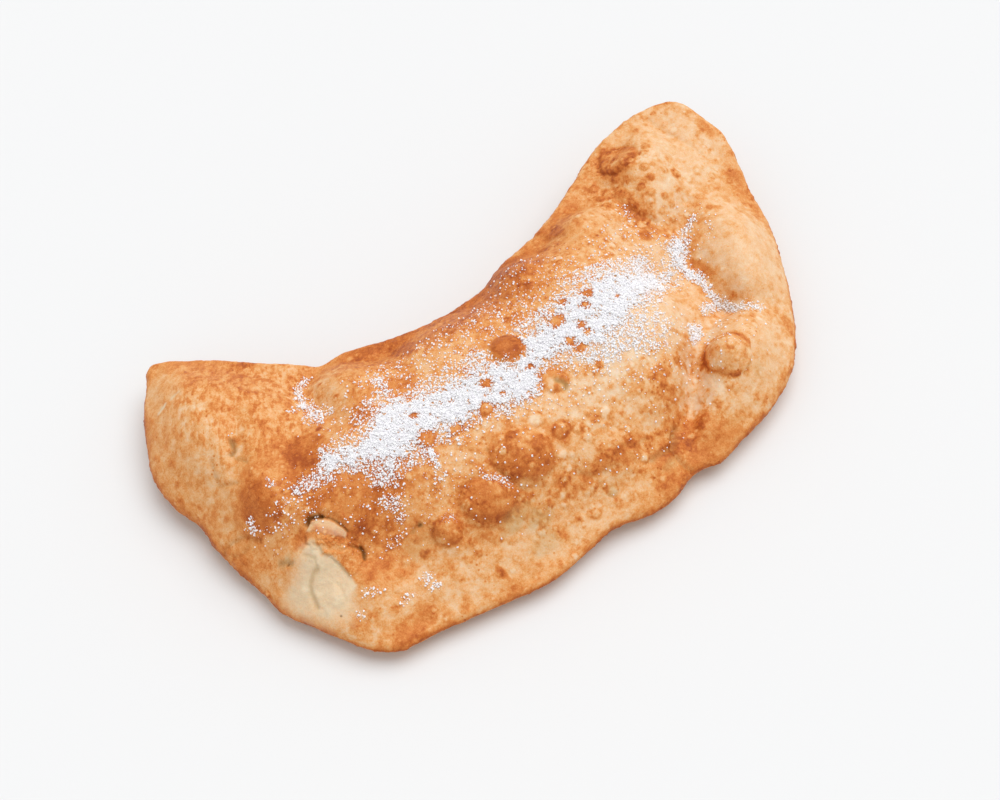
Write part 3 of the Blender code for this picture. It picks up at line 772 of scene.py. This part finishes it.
# Stations along the drift: x, its lower and its upper edge, in millimetres.
DRIFT = (
    (-90, -12.5, -10.5), (-84, -14.5, -11.5), (-80, -15, -9.5), (-78.4, -15, -8), (-77, -15, -4),
    (-75.6, -16, -7), (-73, -17.5, -9), (-68, -21, -10.5), (-64, -23, -8.5), (-60, -24, -7),
    (-55, -23.6, -4.5), (-51, -23.4, -1.5), (-48, -23, 1), (-45, -23, -2), (-40, -23.4, -3.5),
    (-35, -24, -5), (-30, -25, -6.5), (-25, -26, -7), (-20, -27, -7.5), (-15, -28, -7), (-10, -28, -10),
    (-5, -27, -12.5), (-2, -22, -12), (3, -20, -7), (10, -19.5, -5), (17, -22, -4), (22, -25, -1),
    (27, -24, 0), (35, -21, 1.5), (40, -17.5, 2), (50, -12, 2), (60, -7, 3), (66, -2, 3), (69, -1, 1),
)
DRIFT_EDGE = (-5.5, 4.0)  # how far outside its edge the drift starts, and how far inside it is full
DRIFT_RAGGED = (2.6, 2.6)  # how far large and small noise push its edge
DRIFT_FALL = 1.2  # how fast it thins out: 1 is even, and more is faster

# Narrower runs of sugar: half width, density, then their points.
STREAKS = (
    (1.0, 0.6, ((-63, 34), (-68, 31), (-70, 26), (-70, 21))),
    (1.6, 0.7, ((-70, 21), (-70, 16), (-68.6, 11))),
    (0.9, 0.4, ((-68.6, 11), (-71, 8))),
    (1.0, 0.55, ((91, 15), (88, 13.5), (82, 11))),
    (2.2, 1.0, ((81, 9.5), (77, 6), (75.6, 2))),
    (1.6, 1.0, ((75.6, 4), (76.6, -2), (78, -7))),
    (1.0, 0.85, ((78, -7), (78.4, -12), (77.8, -15))),
    (1.3, 0.75, ((79, -17.6), (76, -18), (71.5, -19.4))),
    (0.9, 0.7, ((79.6, -18), (82, -23.6), (84, -26))),
    (1.4, 0.4, ((84, -26), (88, -29))),
    (0.8, 0.16, ((-109.6, -8), (-105, -13), (-100, -18))),
    (1.0, 0.45, ((-35, -42), (-31, -47))),
    (1.2, 0.85, ((-47.6, -23), (-47.4, -31))),
    (1.6, 0.6, ((-47.6, 2), (-46.4, 9))),
    (1.0, 0.5, ((-56, 3), (-52, 1))),
)
STREAK_EDGE = (2.4, 0.3)  # where a run starts and where it is full, in half widths
STREAK_RAGGED = 0.6  # how far noise pushes its edge, in half widths

# Loose places: x, y, half length, half width, turn, density.
CLUSTERS = (
    (62, -26.5, 5.4, 2.6, 42, 0.85), (-95, -12.6, 2.4, 1.4, 50, 0.2), (-96.6, -4.6, 1.4, 2.6, 0, 0.4),
    (-108, -9, 1.2, 2, -30, 0.5), (-64.5, -24.5, 4.6, 5.4, -20, 0.72), (-54, -23.5, 7, 4.6, 0, 0.5),
    (-67, -32, 4, 2.2, -30, 0.6), (-66.5, -37, 2.4, 1.4, 0, 0.45), (-38, -22, 9, 3.4, 0, 0.5),
    (-48, -34.4, 3, 1.2, 0, 0.4), (-36.6, -28, 2, 1.4, 0, 0.35), (-12, -26, 10, 2.6, 0, 0.5),
    (10, -22, 10, 4, 0, 0.35), (22, -26, 9, 5, 0, 0.75), (16.5, -27.6, 1.6, 1.4, 0, 0.8),
    (36, -24, 13, 7, -8, 0.65), (46, -22, 8, 6, 0, 0.32), (50, -14, 10, 4, 25, 0.3),
    (60, 6.6, 7, 3, 10, 0.7), (46, 5, 9, 3.4, 12, 0.55), (36, 5, 10, 3, 5, 0.45),
    (14, -1.6, 14, 4, 3, 0.55), (68, -3, 4, 6, 0, 0.3), (72, 3, 1.6, 4, 0, 0.4),
    (-15, -4.6, 6, 4.6, 0, 0.55), (-30, -3.6, 14, 4.4, -6, 0.36), (-48, 4, 4, 4, 0, 0.4),
    (-58, -3, 8, 4, 20, 0.3), (-71, -5, 6, 4, 0, 0.2), (-67, -9, 5, 3, 0, 0.4),
    (-71, -41, 4, 1.2, 0, 0.3), (-86, -51, 4, 1.6, -20, 0.3), (-68, -55, 2.4, 1.8, 0, 0.45),
    (-77, -57, 3, 1.4, 0, 0.35), (-67, -58.6, 2, 1.4, 0, 0.4), (-93, -54, 2, 1.4, 0, 0.25),
    (-75, 20, 2, 1.5, 0, 0.35), (-73, 13, 2, 3, 0, 0.35), (-65, 10, 1.5, 1.5, 0, 0.4),
    (-61.4, 7, 1.2, 2.4, 0, 0.45), (-53, -46, 3, 2, 0, 0.25), (-98, 22, 1.4, 1, 0, 0.3),
    (-5, 4, 60, 8, 3, 0.12), (0, 11, 60, 9, 3, 0.08), (70, 27, 3, 5, 0, 0.16), (24, 20, 14, 9, 0, 0.05),
    (-55, -32, 32, 13, 0, 0.06), (20, -30, 40, 10, 0, 0.07), (60, -30, 20, 18, 0, 0.03),
    (-88, -16, 16, 8, 0, 0.12), (0, -40, 60, 18, 0, 0.02), (60, 14, 22, 10, 0, 0.08),
    (86, 10, 10, 12, 0, 0.05), (-45, 10, 10, 8, 0, 0.14),
)
CLUSTER_EDGE = (1.4, 0.4)  # where a place starts and where it is full, in half widths
CLUSTER_RAGGED = 0.5  # how far noise pushes its edge, in half widths

# The tops of the blisters in the drift have shed their sugar.
SUGARED = (-50, 45, -30, 0)  # where a blister counts as in the drift: from and to x, from and to y
BARE_SPOT_EDGE = (0.6, 1.2)  # where the sugar starts again and where it is full, in half widths
BARE_SPOT_RAGGED = (0.3, 0.2)  # how far small and large noise push that
BARE_SPOT_REST = 0.06  # share of the sugar that stays on them

drift_x, drift_low, drift_high = np.array(DRIFT, float).T
ragged = mottle(4.5, 7, 4)
fine_ragged = mottle(1.6, 8, 3)
depth_in = np.minimum(y - np.interp(x, drift_x, drift_low), np.interp(x, drift_x, drift_high) - y)
depth_in = np.minimum(depth_in, np.minimum(x - drift_x[0], drift_x[-1] - x))
depth_in = depth_in + DRIFT_RAGGED[0] * ragged + DRIFT_RAGGED[1] * fine_ragged
density = ease(*DRIFT_EDGE, depth_in) ** DRIFT_FALL
for half_width, amount, points in STREAKS:
    gap = line_gap(points) / half_width + STREAK_RAGGED * (ragged + fine_ragged)
    density = np.maximum(density, amount * ease(*STREAK_EDGE, gap))
for row in CLUSTERS:
    density = np.maximum(density, row[5] * ease(*CLUSTER_EDGE, oval(row) + CLUSTER_RAGGED * ragged))
left, right, front, back = SUGARED
for row in BLISTERS:
    if left < row[0] < right and front < row[1] < back:
        far = oval(row) + BARE_SPOT_RAGGED[0] * fine_ragged + BARE_SPOT_RAGGED[1] * ragged
        density *= BARE_SPOT_REST + (1 - BARE_SPOT_REST) * ease(*BARE_SPOT_EDGE, far)
density *= top

BED_THICKNESS = 0.4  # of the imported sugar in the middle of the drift, in millimetres
BED_UNEVEN = (0.75, 0.5)  # plain share of that, and from close noise
BED_START = (0.86, 0.97)  # density where the bed rises out of the crust
BED_RAGGED = (0.2, 0.1)  # how far small and large noise push that
BED_LEAST = 0.02  # share of its rise below which there is no bed
BED_SUNK = 0.3  # how deep its edge lies in the crust
BED_SOLE = 0.3  # how thick the sheet is that makes it

risen = ease(*BED_START, density + BED_RAGGED[0] * fine_ragged + BED_RAGGED[1] * ragged)
thick = BED_THICKNESS * risen * (BED_UNEVEN[0] + BED_UNEVEN[1] * close)
keep = risen > BED_LEAST
bed = bmesh.new()
bed.from_mesh(crust_mesh)
bed.verts.ensure_lookup_table()
for v in bed.verts:
    if keep[v.index]:
        v.co += Vector(facing[v.index]) * (thick[v.index] - BED_SUNK * (1 - risen[v.index])) * MM
uncovered = [f for f in bed.faces if not all(keep[v.index] for v in f.verts)]
bmesh.ops.delete(bed, geom=uncovered, context="FACES")
bmesh.ops.solidify(bed, geom=bed.faces, thickness=BED_SOLE * MM)
bmesh.ops.recalc_face_normals(bed, faces=bed.faces)
bed_mesh = bpy.data.meshes.new("sugar_bed")
bed.to_mesh(bed_mesh)
bed.free()
bed_mesh.shade_smooth()
sugar_bed = bpy.data.objects.new("sugar_bed", bed_mesh)
bpy.context.scene.collection.objects.link(sugar_bed)

# Crystals of table sugar are near enough cubes, and its dust is splinters of them.
cube = bmesh.new()
bmesh.ops.create_cube(cube, size=1)
bmesh.ops.triangulate(cube, faces=cube.faces)
splinter = bmesh.new()
bmesh.ops.create_cone(splinter, cap_ends=True, segments=3, radius1=0.6, radius2=0, depth=1)
bmesh.ops.triangulate(splinter, faces=splinter.faces)

GRAIN_LIMIT = 198000  # triangles in one kind of grain
GRAIN_SIDES = (0.6, 1.0)  # each side of a grain, as a share of its greatest size
GRAIN_STANDS = 0.3  # height of its middle over the skin, as a share of its greatest size


def sprinkle(name, grain, seed, per_square, sizes, pile):
    """Grains lying on the skin as one mesh: so many per square millimetre, of those sizes, some piled up."""
    corners = np.array([v.co for v in grain.verts])
    sides = np.array([[v.index for v in f.verts] for f in grain.faces])
    draw = np.random.default_rng(seed)
    share = areas / MM**2 * per_square[faces].mean(axis=1)
    count = min(int(share.sum()), GRAIN_LIMIT // len(sides))
    chosen = draw.choice(len(faces), count, p=share / share.sum())
    blend = draw.dirichlet((1, 1, 1), count)
    longest = draw.uniform(*sizes, (count, 1))
    raised = thick[faces[chosen, 0]] + pile * draw.random(count) ** 2
    spots = (shaped[faces[chosen]] * blend[:, :, None]).sum(axis=1)
    spots += facing[faces[chosen, 0]] * (GRAIN_STANDS * longest + raised[:, None])
    # Each grain is turned its own way, by a random quaternion.
    spin = draw.standard_normal((4, count))
    w, i, j, k = spin / np.linalg.norm(spin, axis=0)
    turn = np.array([
        [1 - 2 * (j * j + k * k), 2 * (i * j - k * w), 2 * (i * k + j * w)],
        [2 * (i * j + k * w), 1 - 2 * (i * i + k * k), 2 * (j * k - i * w)],
        [2 * (i * k - j * w), 2 * (j * k + i * w), 1 - 2 * (i * i + j * j)],
    ])
    scaled = corners[None] * (longest * draw.uniform(*GRAIN_SIDES, (count, 3)))[:, None]
    points = np.einsum("ijn,nkj->nki", turn, scaled) + spots[:, None]
    triangles = (sides[None] + len(corners) * np.arange(count)[:, None, None]).reshape(-1, 3)
    mesh = bpy.data.meshes.new(name)
    mesh.from_pydata(points.reshape(-1, 3) * MM, [], triangles)
    piece = bpy.data.objects.new(name, mesh)
    bpy.context.scene.collection.objects.link(piece)
    return piece


coarse_crystals = sprinkle(
    "coarse_crystals", cube, seed=5, per_square=2.2 * density**1.15, sizes=(0.42, 0.68), pile=0.3
)
fine_crystals = sprinkle(
    "fine_crystals", cube, seed=6, per_square=3.4 * density**1.2, sizes=(0.28, 0.44), pile=0.2
)
sugar_dust = sprinkle(
    "sugar_dust", splinter, seed=7, per_square=9.0 * density**1.3, sizes=(0.2, 0.36), pile=0.15
)
cube.free()
splinter.free()

SUGAR_COLOUR = (255, 255, 255)
SUGAR_SHADOW = (251, 248, 253)

# How the glints move its colour and its roughness: from the first two of their own values to the last two.
GLINT_COLOUR = (0.35, 0.6, 0.0, 1.0)
GLINT_ROUGHNESS = (0.3, 0.7, 0.5, 0.25)

white, nodes, links = new_material("sugar")
where = add("ShaderNodeTexCoord")
glints = noise_at(0.6, 1.0)
colour = blend_colour(range_of(glints, *GLINT_COLOUR), shade(*SUGAR_SHADOW), shade(*SUGAR_COLOUR))
sugar_shader = new_shader()
links.new(colour, sugar_shader.inputs["Base Color"])
links.new(range_of(glints, *GLINT_ROUGHNESS), sugar_shader.inputs["Roughness"])
sugar_shader.inputs["Subsurface Weight"].default_value = 0.1
sugar_shader.inputs["Subsurface Radius"].default_value = (1.0, 1.0, 1.0)
sugar_shader.inputs["Subsurface Scale"].default_value = 1.2 * MM
for piece in (sugar_bed, coarse_crystals, fine_crystals, sugar_dust):
    piece.data.materials.append(white)
    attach(piece, "root")

# --- The table and the light ---------------------------------------------------------------------------
# A plain pale table top under the empanada, a broad soft lamp high on the right, and an even white room
# around it.

TABLE_SIZE = 6  # metres
LAMP_DIRECTION = Vector((-0.36, -0.12, -0.93))
LAMP_STRENGTH = 1.76
LAMP_SPREAD = 1.0  # radians
ROOM_STRENGTH = 0.66

bpy.ops.mesh.primitive_plane_add(size=TABLE_SIZE, location=(0, 0, 0))
table = bpy.context.object
table.name = "table_top"
pale_top, nodes, links = new_material("table_top")
table_shader = new_shader()
table_shader.inputs["Base Color"].default_value = (0.80, 0.80, 0.80, 1)
table_shader.inputs["Roughness"].default_value = 0.8
table.data.materials.append(pale_top)

lamp = bpy.data.lights.new("window", "SUN")
lamp.energy = LAMP_STRENGTH
lamp.angle = LAMP_SPREAD
lamp_object = bpy.data.objects.new("window", lamp)
lamp_object.rotation_euler = LAMP_DIRECTION.to_track_quat("-Z", "Y").to_euler()
bpy.context.scene.collection.objects.link(lamp_object)
room = bpy.data.worlds.new("room")
room.use_nodes = True
room.node_tree.nodes["Background"].inputs["Color"].default_value = (0.98, 0.99, 1.0, 1)
room.node_tree.nodes["Background"].inputs["Strength"].default_value = ROOM_STRENGTH
bpy.context.scene.world = room
bpy.context.scene.view_settings.view_transform = "Standard"

# --- The camera ----------------------------------------------------------------------------------------
# It looks down on the front of the empanada from a little to the left, and is turned slightly on its axis.

EYE = Vector((-0.19835, -0.33599, 0.56504))
TARGET = Vector((-0.00418, 0.00033, 0.0))
ROLL = -3.5  # degrees
LENS = 68.4  # focal length in millimetres
SENSOR = 36  # width in millimetres

camera = bpy.data.cameras.new("camera")
camera.lens = LENS
camera.sensor_width = SENSOR
camera_object = bpy.data.objects.new("camera", camera)
aim = (TARGET - EYE).to_track_quat("-Z", "Y").to_matrix().to_4x4()
camera_object.matrix_world = Matrix.Translation(EYE) @ aim @ Matrix.Rotation(math.radians(ROLL), 4, "Z")
bpy.context.scene.collection.objects.link(camera_object)
bpy.context.scene.camera = camera_object
